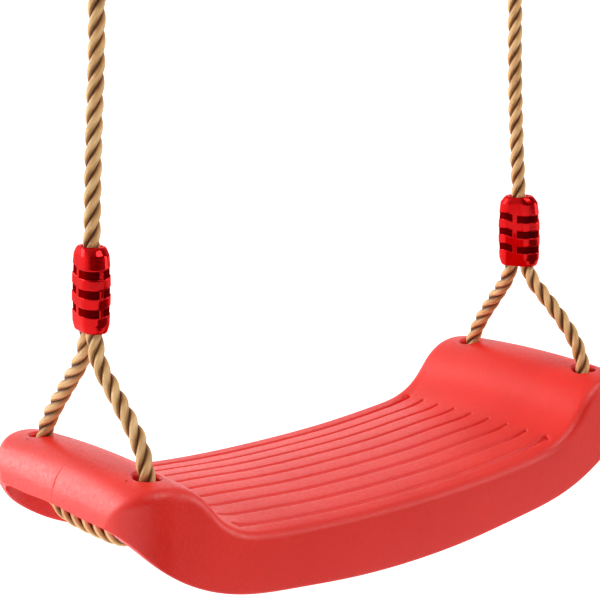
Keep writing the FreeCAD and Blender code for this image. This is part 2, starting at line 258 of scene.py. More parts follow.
def floor():
    """A pale floor that glows softly, and a black card on it that keeps its light off the skirts."""
    z = cad_low.z - FLOOR_DROP
    mat, _, shader = material("floor_paper", (0.35, 0.35, 0.35), 0.9)
    shader.inputs["Emission Color"].default_value = (1, 1, 1, 1)
    shader.inputs["Emission Strength"].default_value = 1.1
    half = FLOOR_SIZE / 2
    staged_sheet("floor", [(-half, -half, z), (half, -half, z), (half, half, z), (-half, half, z)], mat)
    z += CARD_HEIGHT
    black = material("low_card_black", (0.01, 0.01, 0.01), 0.9)[0]
    corners = [(-0.5, -0.30, z), (1.6, -0.30, z), (1.6, -2.2, z), (-0.5, -2.2, z)]
    staged_sheet("low_card", corners, black).visible_camera = False


def sky():
    """Soft white surroundings: bright behind the seat and to its left, dim overhead and in front."""
    world = bpy.data.worlds.new("studio")
    bpy.context.scene.world = world
    world.use_nodes = True
    tree = world.node_tree
    way = node(tree, "ShaderNodeTexCoord").outputs["Generated"]

    def towards(direction):
        dot = node(tree, "ShaderNodeVectorMath", {0: way, 1: direction}, operation="DOT_PRODUCT")
        return dot.outputs["Value"]

    level = remap(tree, towards((-0.45, 0.85, 0.15)), 0.20, 1.40, (-0.5, 0.45))
    overhead = remap(tree, towards((0.0, 0.0, 1.0)), 1.0, 0.45, (0.3, 0.75))
    front = remap(tree, towards((-0.66, -0.75, 0.0)), 1.0, 0.1, (0.3, 0.9))
    level = math_node(tree, "MULTIPLY", math_node(tree, "MULTIPLY", level, overhead), front)
    back = tree.nodes["Background"]
    back.inputs["Color"].default_value = (1, 1, 1, 1)
    tree.links.new(level, back.inputs["Strength"])


def studio():
    bpy.context.scene.view_settings.view_transform = "Standard"
    sky()
    area_light("key_light", (-0.95, 1.25, 0.1), (0.9, 0.9), 16.5)
    area_light("top_light", (0.2, -0.9, 1.2), (1.2, 0.6), 16)
    area_light("front_light", (1.7, -1.0, 0.1), (0.8, 1.0), 13)
    floor()


# ------------ materials

def material(name, colour, roughness):
    mat = bpy.data.materials.new(name)
    mat.use_nodes = True
    shader = mat.node_tree.nodes["Principled BSDF"]
    shader.inputs["Base Color"].default_value = (*colour, 1)
    shader.inputs["Roughness"].default_value = roughness
    return mat, mat.node_tree, shader


def node(tree, kind, inputs=None, **settings):
    made = tree.nodes.new(kind)
    for key, value in settings.items():
        setattr(made, key, value)
    for key, value in (inputs or {}).items():
        if isinstance(value, bpy.types.NodeSocket):
            tree.links.new(value, made.inputs[key])
        else:
            made.inputs[key].default_value = value
    return made


def place_texture(tree, stretch=(1, 1, 1)):
    """The piece's own metres, stretched."""
    coordinates = node(tree, "ShaderNodeTexCoord").outputs["Object"]
    return node(tree, "ShaderNodeMapping", {"Vector": coordinates, "Scale": stretch}).outputs["Vector"]


def noise(tree, vector, scale, detail=2.0, rough=0.5):
    made = node(tree, "ShaderNodeTexNoise",
                {"Vector": vector, "Scale": scale, "Detail": detail, "Roughness": rough})
    return made.outputs["Fac"]


def remap(tree, value, low, high, source=(0.3, 0.7)):
    made = node(tree, "ShaderNodeMapRange", {"Value": value, "From Min": source[0], "From Max": source[1],
                                             "To Min": low, "To Max": high})
    return made.outputs["Result"]


def ramp(tree, value, stops):
    """Colours along a value; stops are (position, colour)."""
    made = node(tree, "ShaderNodeValToRGB", {"Fac": value})
    band = made.color_ramp
    while len(band.elements) < len(stops):
        band.elements.new(0.5)
    for element, (position, colour) in zip(band.elements, stops):
        element.position = position
        element.color = (*colour, 1)
    return made.outputs["Color"]


def bump(tree, height, distance, strength=1.0, under=None):
    inputs = {"Height": height, "Distance": distance, "Strength": strength}
    if under is not None:
        inputs["Normal"] = under
    return node(tree, "ShaderNodeBump", inputs).outputs["Normal"]


def math_node(tree, operation, a, b=0.0):
    return node(tree, "ShaderNodeMath", {0: a, 1: b}, operation=operation).outputs["Value"]


def weighted_sum(tree, terms):
    """Sum of values, each times its weight."""
    total = 0.0
    for value, weight in terms:
        total = math_node(tree, "ADD", math_node(tree, "MULTIPLY", value, weight), total)
    return total


def seat_material():
    """Satin moulded plastic, with the fine grain of a textured mould."""
    mat, tree, shader = material("seat_red_plastic", (0.80, 0.015, 0.007), 0.40)
    place_at = place_texture(tree)
    cloudy = noise(tree, place_at, 16.0, 3.0)
    tint = ramp(tree, cloudy, [(0.3, (0.77, 0.012, 0.005)), (0.7, (0.84, 0.018, 0.008))])
    grain = noise(tree, place_at, 1100.0, 2.0)
    speck = remap(tree, grain, 0.95, 1.04)
    tint = node(tree, "ShaderNodeVectorMath", {0: tint, 3: speck}, operation="SCALE").outputs["Vector"]
    tree.links.new(tint, shader.inputs["Base Color"])
    tree.links.new(remap(tree, noise(tree, place_at, 380.0, 3.0), 0.36, 0.50), shader.inputs["Roughness"])
    waves = noise(tree, place_at, 55.0, 2.0)
    low = bump(tree, waves, 0.0006, 0.25)
    tree.links.new(bump(tree, grain, 0.00024, 0.8, low), shader.inputs["Normal"])
    return mat


def adjuster_material():
    """Glossy deep red plastic, with faint flow waves and handling marks, and painted shade down in the slots."""
    mat, tree, shader = material("adjuster_red_plastic", (0.66, 0.003, 0.006), 0.16)
    place_at = place_texture(tree)
    shade = noise(tree, place_at, 60.0, 3.0)
    tint = ramp(tree, shade, [(0.3, (0.54, 0.001, 0.002)), (0.7, (0.64, 0.003, 0.005))])
    # Painted shade: the slot mark paints the slots' floors near black (0.10, 0, 0.001), and there the plastic is also
    # rougher and has no coat.
    slot = node(tree, "ShaderNodeAttribute", attribute_name="slot").outputs["Fac"]
    deep = remap(tree, slot, 0.0, 1.0, (0.25, 0.8))
    painted_slot_shade = node(tree, "ShaderNodeMix", {0: deep, 6: tint, 7: (0.10, 0.0, 0.001, 1)}, data_type="RGBA")
    tree.links.new(painted_slot_shade.outputs[2], shader.inputs["Base Color"])
    worn = remap(tree, noise(tree, place_at, 700.0, 4.0), 0.10, 0.22)
    tree.links.new(weighted_sum(tree, [(worn, 1.0), (deep, 0.35)]), shader.inputs["Roughness"])
    shader.inputs["Specular IOR Level"].default_value = 0.0
    shader.inputs["Specular Tint"].default_value = (1.0, 0.12, 0.12, 1)
    shader.inputs["Metallic"].default_value = 0.75
    shader.inputs["Coat Roughness"].default_value = 0.08
    tree.links.new(remap(tree, deep, 0.18, 0.0, (0.0, 1.0)), shader.inputs["Coat Weight"])
    tree.links.new(bump(tree, noise(tree, place_at, 140.0, 2.0), 0.0004, 0.3), shader.inputs["Normal"])
    return mat


def rope_material():
    """Tan twisted fibre: yarns and filaments run along each strand, and the valleys between the strands carry painted
    shade.
    """
    mat, tree, shader = material("rope_fibre", (0.56, 0.33, 0.13), 0.62)
    around = node(tree, "ShaderNodeUVMap", uv_map="strand").outputs["UV"]
    yarns = node(tree, "ShaderNodeMapping", {"Vector": around, "Scale": (90.0, 7.0, 1.0)}).outputs["Vector"]
    split = node(tree, "ShaderNodeSeparateXYZ", {"Vector": yarns})
    turn = math_node(tree, "ADD", split.outputs["Y"], math_node(tree, "MULTIPLY", split.outputs["X"], 0.9))
    wave = math_node(tree, "SINE", math_node(tree, "MULTIPLY", turn, 2 * math.pi))
    yarn = remap(tree, wave, 0.0, 1.0, (-1.0, 1.0))
    along = math_node(tree, "MULTIPLY", split.outputs["X"], 0.55)
    fibre_at = node(tree, "ShaderNodeCombineXYZ", {"X": math_node(tree, "MULTIPLY", turn, 3.2), "Y": along})
    fibre = noise(tree, fibre_at.outputs["Vector"], 2.6, 5.0, 0.65)
    patch = noise(tree, place_texture(tree), 95.0, 3.0)
    # Painted shade: the valley mark takes lightness off where points lie deep between the strands, down to the ramp's
    # dark brown; fibre, patch and yarn are the fibre's own tone.
    valley_shade = node(tree, "ShaderNodeAttribute", attribute_name="valley_shade").outputs["Fac"]
    light = weighted_sum(tree, [(fibre, 0.55), (patch, 0.45), (yarn, 0.06), (valley_shade, -0.70)])
    tint = ramp(tree, light, [(0.0, (0.14, 0.042, 0.005)), (0.27, (0.42, 0.19, 0.05)),
                              (0.46, (0.74, 0.42, 0.155)), (0.75, (0.98, 0.70, 0.38))])
    tree.links.new(tint, shader.inputs["Base Color"])
    tree.links.new(remap(tree, fibre, 0.45, 0.75), shader.inputs["Roughness"])
    shader.inputs["Sheen Weight"].default_value = 0.08
    shader.inputs["Sheen Roughness"].default_value = 0.4
    coarse = bump(tree, yarn, 0.0005, 0.4)
    tree.links.new(bump(tree, fibre, 0.0004, 0.9, coarse), shader.inputs["Normal"])
    return mat


def ring_material():
    """Zinc-plated steel, slightly mottled."""
    mat, tree, shader = material("ring_zinc", (0.62, 0.63, 0.65), 0.28)
    shader.inputs["Metallic"].default_value = 1.0
    place_at = place_texture(tree)
    mottle = noise(tree, place_at, 210.0, 4.0)
    tree.links.new(ramp(tree, mottle, [(0.35, (0.50, 0.51, 0.53)), (0.65, (0.70, 0.71, 0.72))]),
                   shader.inputs["Base Color"])
    tree.links.new(remap(tree, mottle, 0.20, 0.38), shader.inputs["Roughness"])
    tree.links.new(bump(tree, noise(tree, place_at, 900.0, 3.0), 0.00005, 0.4), shader.inputs["Normal"])
    return mat


def ferrule_material():
    """Pressed aluminium, brushed along its length."""
    mat, tree, shader = material("ferrule_aluminium", (0.66, 0.66, 0.67), 0.35)
    shader.inputs["Metallic"].default_value = 1.0
    brushed = noise(tree, place_texture(tree, (1.0, 1.0, 0.06)), 2200.0, 3.0)
    tree.links.new(remap(tree, brushed, 0.28, 0.48), shader.inputs["Roughness"])
    tree.links.new(ramp(tree, brushed, [(0.3, (0.58, 0.58, 0.59)), (0.7, (0.72, 0.72, 0.73))]),
                   shader.inputs["Base Color"])
    tree.links.new(bump(tree, brushed, 0.00004, 0.5), shader.inputs["Normal"])
    return mat


def thimble_material():
    """Black moulded plastic."""
    mat, tree, shader = material("thimble_black", (0.03, 0.03, 0.034), 0.4)
    grain = noise(tree, place_texture(tree), 1100.0, 2.0)
    tree.links.new(remap(tree, grain, 0.34, 0.52), shader.inputs["Roughness"])
    tree.links.new(ramp(tree, grain, [(0.3, (0.022, 0.022, 0.025)), (0.7, (0.042, 0.042, 0.047))]),
                   shader.inputs["Base Color"])
    tree.links.new(bump(tree, grain, 0.0001, 0.4), shader.inputs["Normal"])
    return mat


# ------------ mesh helpers

def mesh_object(name, vertices, faces, mat, sharp=None):
    """A smooth-shaded object; faces that meet at more than sharp degrees keep a crisp edge."""
    mesh = bpy.data.meshes.new(name)
    mesh.from_pydata([tuple(v) for v in vertices], [], faces)
    mesh.update()
    mesh.materials.append(mat)
    mesh.polygons.foreach_set("use_smooth", [True] * len(mesh.polygons))
    if sharp:
        mesh.set_sharp_from_angle(angle=math.radians(sharp))
    return link(bpy.data.objects.new(name, mesh))


def weld(obj, distance=1e-6):
    """Joins points that coincide, drops the faces that this closes up, and turns all faces outward."""
    bm = bmesh.new()
    bm.from_mesh(obj.data)
    bmesh.ops.remove_doubles(bm, verts=bm.verts, dist=distance)
    bmesh.ops.dissolve_degenerate(bm, edges=bm.edges, dist=distance)
    loose = [v for v in bm.verts if not v.link_faces]
    bmesh.ops.delete(bm, geom=loose, context="VERTS")
    bmesh.ops.recalc_face_normals(bm, faces=bm.faces)
    bm.to_mesh(obj.data)
    bm.free()


def grid_faces(grid, flip=False):
    """Quads of a grid of point numbers."""
    faces = []
    for i in range(len(grid) - 1):
        for j in range(len(grid[0]) - 1):
            quad = (grid[i][j], grid[i + 1][j], grid[i + 1][j + 1], grid[i][j + 1])
            faces.append(quad[::-1] if flip else quad)
    return faces


def tube_faces(first, rings, sides):
    """Quads between rings of points that follow each other, from point number first."""
    faces = []
    for k in range(rings - 1):
        for n in range(sides):
            m = (n + 1) % sides
            a = first + k * sides
            faces.append((a + n, a + m, a + sides + m, a + sides + n))
    return faces


def stitch(first, second, at_first, at_second):
    """Triangles between two rows of point numbers, each with its rising measure along the row."""
    faces = []
    i = j = 0
    while i < len(first) - 1 or j < len(second) - 1:
        take_first = j == len(second) - 1 or (
            i < len(first) - 1 and at_first[i + 1] <= at_second[j + 1])
        if take_first:
            faces.append((first[i], first[i + 1], second[j]))
            i += 1
        else:
            faces.append((first[i], second[j + 1], second[j]))
            j += 1
    return faces


def measure(points):
    """Length along a row of points, from 0 to 1."""
    steps = np.linalg.norm(np.diff(np.asarray(points), axis=0), axis=1)
    total = np.r_[0, np.cumsum(steps)]
    return total / total[-1]


# ------------ ropes

HELIX = 0.00272
STRAND = 0.00255
STRAND_SIDES = 24
STRAND_SHIFT = 0.37
VALLEY_DEPTH = 0.0021
ROPE_STEP = 0.0012


def route_line(name, route):
    """A rope's line, read from the NURBS spline whose control points are its route."""
    curve = bpy.data.curves.new(name, "CURVE")
    curve.dimensions = "3D"
    curve.resolution_u = 32
    spline = curve.splines.new("NURBS")
    spline.points.add(len(route) - 1)
    for point, spot in zip(spline.points, route):
        point.co = (*spot, 1)
    spline.order_u = 3
    spline.use_endpoint_u = True
    holder = link(bpy.data.objects.new(name, curve))
    mesh = bpy.data.meshes.new_from_object(holder)
    line = np.array([v.co for v in mesh.vertices])
    bpy.data.objects.remove(holder)
    bpy.data.meshes.remove(mesh)
    bpy.data.curves.remove(curve)
    return line


def evenly(line, step):
    """Points at equal steps along a line, and their lengths along it."""
    steps = np.linalg.norm(np.diff(line, axis=0), axis=1)
    lengths = np.r_[0, np.cumsum(steps)]
    at = np.linspace(0, lengths[-1], max(3, int(round(lengths[-1] / step)) + 1))
    return np.stack([np.interp(at, lengths, line[:, k]) for k in range(3)], 1), at


def unit(rows):
    return rows / np.linalg.norm(rows, axis=1, keepdims=True)


def carried_frames(line):
    """Tangent and two normals along a line, carried without twist."""
    tangent = unit(np.gradient(line, axis=0))
    normal = np.zeros_like(line)
    start = np.cross(tangent[0], (1.0, 0.0, 0.0))
    for k, along in enumerate(tangent):
        start = start - along * start.dot(along)
        start = start / np.linalg.norm(start)
        normal[k] = start
    return tangent, normal, np.cross(tangent, normal)


def strand_rings(line, at, lay):
    """Rings of points of one strand, whose centre winds round the line by the angles in lay."""
    _, normal, side = carried_frames(line)
    outward = np.cos(lay)[:, None] * normal + np.sin(lay)[:, None] * side
    centre = line + HELIX * outward
    along = unit(np.gradient(centre, axis=0))
    outward = unit(outward - along * np.sum(outward * along, axis=1, keepdims=True))
    across = np.cross(along, outward)
    turn = np.arange(STRAND_SIDES) * 2 * math.pi / STRAND_SIDES
    for k in range(len(at)):
        spread_out = np.cos(turn)[:, None] * outward[k] + np.sin(turn)[:, None] * across[k]
        yield centre[k] + STRAND * spread_out


def write_strand_map(obj, uv):
    """Stores each point's (length along the rope, share round the strand), mended where it wraps."""
    layer = obj.data.uv_layers.new(name="strand")
    corner = np.zeros(len(obj.data.loops), np.int32)
    obj.data.loops.foreach_get("vertex_index", corner)
    spots = np.array(uv, np.float32)[corner]
    for polygon in obj.data.polygons:
        loops = list(polygon.loop_indices)
        if spots[loops, 1].max() - spots[loops, 1].min() > 0.5 and len(loops) == 4:
            low = [n for n in loops if spots[n, 1] < 0.5]
            spots[low, 1] += 1.0
    layer.data.foreach_set("uv", spots.ravel())


def write_point_mark(obj, name, values):
    mark = obj.data.attributes.new(name, "FLOAT", "POINT")
    mark.data.foreach_set("value", np.array(values, np.float32))


def twisted_rope(name, line, mat, phase):
    """Three strands laid right-handed round a line."""
    line, at = evenly(line, ROPE_STEP)
    vertices, faces, valley_shade, uv = [], [], [], []
    for strand in range(3):
        lay = 2 * math.pi * (strand / 3 + phase + at / LAY_LENGTH)
        first = len(vertices)
        for k, ring in enumerate(strand_rings(line, at, lay)):
            vertices.extend(ring)
            # Mask for the painted shade in the valleys: how deep each point lies between the strands, full at
            # VALLEY_DEPTH.
            depth = HELIX + STRAND - np.linalg.norm(ring - line[k], axis=1)
            valley_shade.extend(np.clip(depth / VALLEY_DEPTH, 0, 1) ** 1.2)
            uv.extend((at[k] + strand * STRAND_SHIFT, n / STRAND_SIDES) for n in range(STRAND_SIDES))
        faces += tube_faces(first, len(line), STRAND_SIDES)
        faces.append(tuple(range(first + STRAND_SIDES - 1, first - 1, -1)))
        faces.append(tuple(range(len(vertices) - STRAND_SIDES, len(vertices))))
    obj = mesh_object(name, vertices, faces, mat, 60)
    write_point_mark(obj, "valley_shade", valley_shade)
    write_strand_map(obj, uv)
    return obj, line


def side_point(side, x, y, z):
    return place(side["sign"] * x, y, z)


def eye_point(side, y, z):
    return Vector((side["sign"] * HANG_HALF_SPAN, y, z - DROP))


def adjuster_matrix(side):
    """From a point in an upright adjuster at the origin to its place."""
    foot = side_point(side, side["foot"][0], 0, side["foot"][1])
    head = side_point(side, side["head"][0], 0, side["head"][1])
    lean = Vector((0, 0, 1)).rotation_difference(head - foot).to_matrix().to_4x4()
    return Matrix.Translation(foot) @ lean @ Matrix.Rotation(math.radians(side["turn"]), 4, "Z")


def adjuster_point(side, y, height):
    return adjuster_matrix(side) @ Vector((0, y, height))


def upper_route(side):
    route = [adjuster_point(side, 0, NECK_PIVOT)]
    route += [side_point(side, x, 0, z) for x, z in side["upper"]]
    return route + [eye_point(side, 0, SWAY_HEIGHT)]


def loop_route(side):
    foot_x, foot_z = side["foot"]
    front, back = side["legs"]
    route = [adjuster_point(side, -PAIR, LEG_PIVOT), adjuster_point(side, *front)]
    for y, z in side["loop"]:
        lean = max(0.0, z) / foot_z
        route.append(side_point(side, HOLE_X + (foot_x - HOLE_X) * lean, y, z))
    return route + [adjuster_point(side, *back), adjuster_point(side, PAIR, LEG_PIVOT)]


def eye_route(side):
    crown = EYE_CENTRE + EYE_RADIUS
    shoulder = EYE_CENTRE - 0.004
    heights = [(-0.0012, SWAY_HEIGHT + JOINT_GAP + 0.0026), (-PAIR, 0.291), (-PAIR, 0.300),
               (-EYE_RADIUS, shoulder), (-EYE_RADIUS, crown), (EYE_RADIUS, crown),
               (EYE_RADIUS, shoulder), (PAIR, 0.300), (PAIR, 0.289)]
    return [eye_point(side, y, z) for y, z in heights]


def inner_route(side):
    heights = [(0, NECK_PIVOT - JOINT_GAP), (0, 0.038), (-PAIR, 0.026), (-PAIR, LEG_PIVOT + 0.0027)]
    return [adjuster_point(side, y, z) for y, z in heights]


def tail_route(side):
    return [adjuster_point(side, PAIR, z) for z in (LEG_PIVOT + 0.0027, 0.0115, LEG_PIVOT + 0.0217)]


def line_length(line):
    return float(np.linalg.norm(np.diff(line, axis=0), axis=1).sum())


def ropes(side, mat):
    """The rope's five lengths, each on its own body."""
    name = side["name"]
    parts = [("upper", upper_route, name + "_rope"), ("loop", loop_route, "seat"),
             ("eye", eye_route, "rope_eyes"), ("inner", inner_route, name + "_adjuster"),
             ("tail", tail_route, name + "_adjuster")]
    made = {}
    for n, (part, route, body) in enumerate(parts):
        cad_node = f"{name}_rope_tail" if part == "tail" else f"{name}_{part}_rope"
        obj, line = twisted_rope(f"{name}_{part}_twist", route_line("route", route(side)), mat, 0.21 * n)
        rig.ride(obj, body)
        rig.replaces(obj, cad_node)
        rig.slot(obj, "rope")
        made[part] = (obj, line)
    return made


def declare_ropes(made, fittings):
    """The long visible lengths are cords: the upper rope, its eye and the loop that carries the seat."""
    upper, line = made["upper"]
    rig.cord(upper, exit=line[0], length=line_length(line), diameter=ROPE, far_end="fitting",
            stiffness="medium", lay="taut", path=line, with_pieces=fittings)
    loop, line = made["loop"]
    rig.cord(loop, exit=line[0], length=line_length(line), diameter=ROPE, far_end="object",
            stiffness="medium", lay="taut", path=line)
    eye, line = made["eye"]
    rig.cord(eye, exit=line[0], length=line_length(line), diameter=ROPE, far_end="object",
            stiffness="medium", lay="taut", path=line)


# ------------ rope adjusters

ADJUSTER_HEIGHT = 50.5
ADJUSTER_SECTIONS = [(0.0, 7.2, 13.1), (5.0, 8.5, 14.7), (15.0, 8.9, 15.2), (25.0, 9.0, 15.3),
                     (36.0, 8.7, 14.8), (46.0, 8.4, 13.6), (50.5, 7.6, 10.2)]
CAVITY_SECTIONS = [(0.0, 6.3, 12.4), (6.0, 5.6, 11.0), (28.0, 5.6, 11.0), (42.0, 5.6, 5.61),
                   (46.0, 5.6, 5.61), (50.5, 6.5, 6.51)]
SLOT_CENTRES = (12.5, 23.7, 34.9)
SLOT_HALF_HEIGHT = 2.45
SLOT_DEPTH = 0.55
SLOT_BAND = 1.7
SLOT_LEAN = 2.0
TOOTH_HALF_ANGLE = 9.0
TOOTH_HEIGHT = 0.5
LEAN_HEIGHTS = (4, 9, 38, 45)
EDGE_ROUND = 0.45


def section(table, z):
    """Half thickness and half width of an oval at a height, in millimetres."""
    heights, half_x, half_y = zip(*table)
    return np.interp(z, heights, half_x), np.interp(z, heights, half_y)


def rise(distance):
    """How deep a slot is at a distance inside its edge: a rounded lip, then a steep wall."""
    places = (-EDGE_ROUND, -0.2, -0.05, 0.0, 0.12, 0.4)
    return np.interp(distance, places, (0.0, 0.04, 0.12, 0.24, 0.50, SLOT_DEPTH))


def adjuster_heights():
    """Heights of an adjuster's rows of points, close together at the slots' edges and at both ends."""
    heights = [0.0, 0.15, 0.5, 1.1, 2.5, 4.2, 5.0, 5.8, 7.5]
    for centre in SLOT_CENTRES:
        for sign in (-1, 1):
            edge = centre + sign * SLOT_HALF_HEIGHT
            heights += [edge - sign * d for d in (-1.2, -EDGE_ROUND, -0.2, -0.05, 0.0, 0.12, 0.4, 1.1)]
        heights += [centre, centre + 5.6]
    heights += [43.0, 45.0, 45.7, 46.3, 47.2, 49.0, 49.9, 50.35, ADJUSTER_HEIGHT]
    return sorted(set(round(h, 3) for h in heights))


def adjuster_columns():
    """Places round one half of an oval: share of the flat side, then angle round the end in degrees."""
    flat = [0.0, 0.12, 0.19, 0.22, 0.25, 0.28, 0.31, 0.34, 0.42, 0.6, 0.8]
    angles = [0, 12, 26, 42, 58, 70, 76, 79.5, 80.6, 82, 86, 90, 94, 98, 99.4, 100.5, 104, 110, 122, 138,
              154, 168, 180]
    return [("flat", -1, q) for q in flat] + [("end", 0, a) for a in angles] + [
        ("flat", 1, q) for q in reversed(flat)]


def oval_point(half_x, half_y, column, inset):
    """A point of an oval's half, pushed in by inset, in millimetres; the end is towards +Y."""
    straight = max(half_y - half_x, 0.01)
    kind, sign, value = column
    if kind == "flat":
        return sign * (half_x - inset), value * straight
    angle = math.radians(180 - value)
    return (half_x - inset) * math.cos(angle), straight + (half_x - inset) * math.sin(angle)


def slot_depth(z, column, half_x, half_y):
    """Depth of the three slots, each with a tooth in the middle of the half's end."""
    kind, _, value = column
    nearest = min(abs(z - centre) for centre in SLOT_CENTRES)
    inside = SLOT_HALF_HEIGHT - nearest
    along = half_x
    tooth = 0.0
    if kind == "flat":
        along = value * max(half_y - half_x, 0.01) - SLOT_BAND
    else:
        off = (abs(value - 90) - TOOTH_HALF_ANGLE) * math.radians(1) * half_x
        tooth = TOOTH_HEIGHT * float(np.interp(off, (-0.9, -0.45, 0.25), (1.0, 0.86, 0.0)))
    return float(min(rise(inside), rise(along))) - (tooth if inside > 0.1 else 0.0)


def slot_lean(column, front):
    """How far the slots rise along one flat side of a half, and fall again round its end."""
    kind, sign, value = column
    leaning = 1 if front else -1
    if kind == "flat":
        return SLOT_LEAN * value if sign == leaning else 0.0
    turned = value if front else 180 - value
    return SLOT_LEAN * float(np.interp(turned, (90, 150), (0, 1)))


def adjuster_half(side, front, mat):
    """One moulded half: outer skin with three toothed slots, rope cavity and flat seam."""
    heights, columns = adjuster_heights(), adjuster_columns()
    towards = -1 if front else 1
    vertices, marks, outer, inner = [], [], [], []
    for outside, table, grid in ((True, ADJUSTER_SECTIONS, outer), (False, CAVITY_SECTIONS, inner)):
        for z in heights:
            half_x, half_y = section(table, z)
            if outside:
                lip = 0.5 * max(0.0, 1 - z / 1.1) ** 2 + 0.6 * max(0.0, 1 - (ADJUSTER_HEIGHT - z) / 1.4) ** 2
                half_x, half_y = half_x - lip, half_y - lip
            row = []
            for column in columns:
                depth = lean = 0.0
                if outside:
                    depth = max(0.0, slot_depth(z, column, half_x, half_y))
                    lean = slot_lean(column, front) * float(np.interp(z, LEAN_HEIGHTS, (0, 1, 1, 0)))
                x, y = oval_point(half_x, half_y, column, depth)
                row.append(len(vertices))
                vertices.append((x * MM, towards * y * MM, (z + lean) * MM))
                marks.append(depth / SLOT_DEPTH)
            grid.append(row)
    faces = grid_faces(outer) + grid_faces(inner, True)
    faces += grid_faces([outer[0], inner[0]]) + grid_faces([inner[-1], outer[-1]])
    for n in (0, -1):
        faces += grid_faces([[row[n] for row in outer], [row[n] for row in inner]])
    which = "front" if front else "back"
    name = f"{side['name']}_adjuster_{which}"
    obj = mesh_object(name + "_shell", vertices, faces, mat)
    # Each point's share of the slot depth: the mask for the painted shade in the slots.
    write_point_mark(obj, "slot", marks)
    weld(obj)
    obj.data.set_sharp_from_angle(angle=math.radians(50))
    obj.data.transform(adjuster_matrix(side))
    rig.ride(obj, side["name"] + "_adjuster")
    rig.replaces(obj, name)
    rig.slot(obj, "adjuster_plastic")
    return obj


# ------------ hanging eye fittings

FERRULE_BOTTOM = 0.274
FERRULE_HEIGHT = 24.0
FERRULE_WALL = 1.9
FERRULE_BORE = 5.45
FERRULE_BANDS = (7.5, 12.5, 17.5)
BAND_DEPTH = 0.45
FERRULE_SIDES = 56


def ferrule(side, mat):
    """A swaged oval sleeve with three pressed bands and a flared mouth below."""
    pair = PAIR / MM + FERRULE_BORE
    heights = sorted([0.0, 0.2, 0.6, 1.0, 5.0, FERRULE_HEIGHT - 0.9, FERRULE_HEIGHT - 0.3, FERRULE_HEIGHT]
                     + [c + d for c in FERRULE_BANDS for d in (-1.6, -1.2, -0.7, 0, 0.7, 1.2, 1.6)])
    vertices, outer, inner = [], [], []
    for outside, grid in ((True, outer), (False, inner)):
        for z in heights:
            press = BAND_DEPTH * max(0.0, 1 - (min(abs(z - c) for c in FERRULE_BANDS) / 1.5) ** 2)
            lip = 0.5 * max(0.0, 1 - z / 0.8) ** 2 + 0.5 * max(0.0, 1 - (FERRULE_HEIGHT - z) / 0.9) ** 2
            if outside:
                half_x, half_y = (bore + FERRULE_WALL - press - lip for bore in (FERRULE_BORE, pair))
            else:
                half_x = FERRULE_BORE + 1.3 * max(0.0, 1 - z / 5)
                half_y = pair if z > 4.99 else half_x
            straight = half_y - half_x
            row = []
            for n in range(FERRULE_SIDES):
                angle = 2 * math.pi * (n + 0.5) / FERRULE_SIDES
                x = half_x * math.cos(angle)
                y = half_x * math.sin(angle) + math.copysign(straight, math.sin(angle))
                row.append(len(vertices))
                vertices.append(eye_point(side, y * MM, FERRULE_BOTTOM + z * MM) + Vector((x * MM, 0, 0)))
            grid.append(row + row[:1])
    faces = grid_faces(outer) + grid_faces(inner, True)
    faces += grid_faces([outer[0], inner[0]], True) + grid_faces([inner[-1], outer[-1]], True)
    obj = mesh_object(side["name"] + "_ferrule_sleeve", vertices, faces, mat)
    weld(obj)
    obj.data.set_sharp_from_angle(angle=math.radians(50))
    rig.ride(obj, "rope_eyes")
    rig.replaces(obj, side["name"] + "_ferrule")
    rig.slot(obj, "ferrule_metal")
    return obj


def finish_node(name, mat):
    """A CAD node that keeps its shape and gets a better material."""
    obj = frame["nodes"][name]
    obj.data.materials.clear()
    obj.data.materials.append(mat)
    return obj


# ------------ seat, in millimetres

HALF_LENGTH = 221.5
HALF_WIDTH = 81.5
CORNER = 32.0
WALL = 3.6
NOSE_HEIGHT = -25.0
TOP_OUTLINE = [(0, -49.5, 7.2), (60, -48.2, 7.2), (112, -44.2, 7.0), (140, -38.0, 5.2), (155, -27.5, 4.6),
               (168, -12.4, 4.4), (181, -4.2, 4.4), (194, -2.0, 4.3), (206, -3.2, 3.8), (214.5, -7.4, 2.2),
               (219.8, -14.8, 0.6), (221.5, NOSE_HEIGHT, 0.0)]
BOTTOM_OUTLINE = [(0, -91.0), (50, -89.2), (100, -84.0), (140, -77.8), (168, -68.2), (189.5, -56.0),
                  (205.5, -42.4), (216, -30.5), (221.5, NOSE_HEIGHT)]
BACK_EDGE = 0.3
END_WALL_TOP = -14.0
END_ARCH_TOP = -24.0
END_ARCH_RADIUS = 330.0
GROOVES = 9
GROOVE_PITCH = 17.1
GROOVE_HALF_WIDTH = 1.3
GROOVE_PLACES = (-0.75, -0.35, 0.0, 0.3, 0.75, 1.3)
GROOVE_DEPTHS = (0, 0.10, 0.55, 1.35, 1.72, 1.8)
GROOVE_HALF_LENGTH = 135.4
GROOVE_END_BOW = 3.0
GROOVE_FLARE = 20.0
LAND_DISH = 0.45
FRONT_ROLL = 0.9
FRONT_ROLL_WIDTH = 13.0
SKIRT_FADE = 26.0
HOLE_RADIUS = 8.2
HOLE_LIP = 1.7
BOSS_RADIUS = 11.2
BOSS_BOTTOM = -22.0
RING_SIDES = 48
RIB = 2.6
RIB_PITCH = 42.5
RIB_DEPTH = 12.0
LONG_RIBS = (-54.0, -27.0, 0.0, 27.0, 54.0)
HOLES = [(sx * HOLE_X / MM, sy * HOLE_Y / MM) for sx in (-1, 1) for sy in (-1, 1)]


